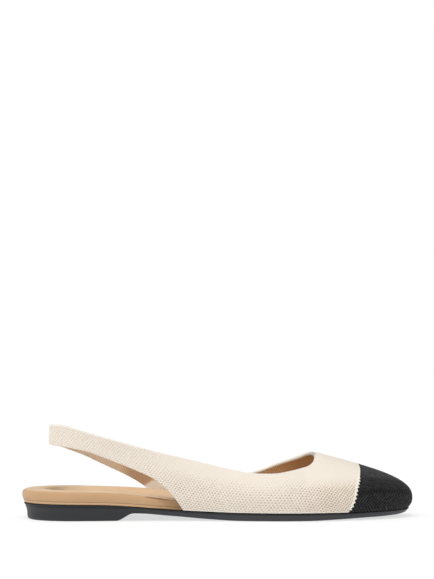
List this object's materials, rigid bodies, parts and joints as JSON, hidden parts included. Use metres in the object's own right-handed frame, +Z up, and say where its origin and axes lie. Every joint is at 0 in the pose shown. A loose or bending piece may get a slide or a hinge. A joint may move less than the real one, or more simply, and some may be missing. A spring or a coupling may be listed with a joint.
{
  "type": "sling back flat shoe",
  "caption": "Low-heeled slip-on shoe with a knitted upper, a sling round the open heel, a contrasting almond toe cap and a cushioned footbed on a rubber sole.",
  "frame": {"origin": "middle of the shoe's box, on the ground", "axes": "+X to the toe, +Y to the medial side, +Z up"},
  "size_m": [0.2518, 0.08, 0.0599],
  "materials": {
    "outsole_rubber": "satin charcoal black moulded rubber",
    "footbed_cover": "matt tan microfibre over foam",
    "upper_knit": "matt cream knit with small tan dots",
    "toe_knit": "black knit with fine slanted ribs"
  },
  "bodies": {
    "root": {"outsole": "outsole_rubber", "footbed": "footbed_cover", "upper": "upper_knit", "toe_cap": "toe_knit"}
  },
  "joints": []
}
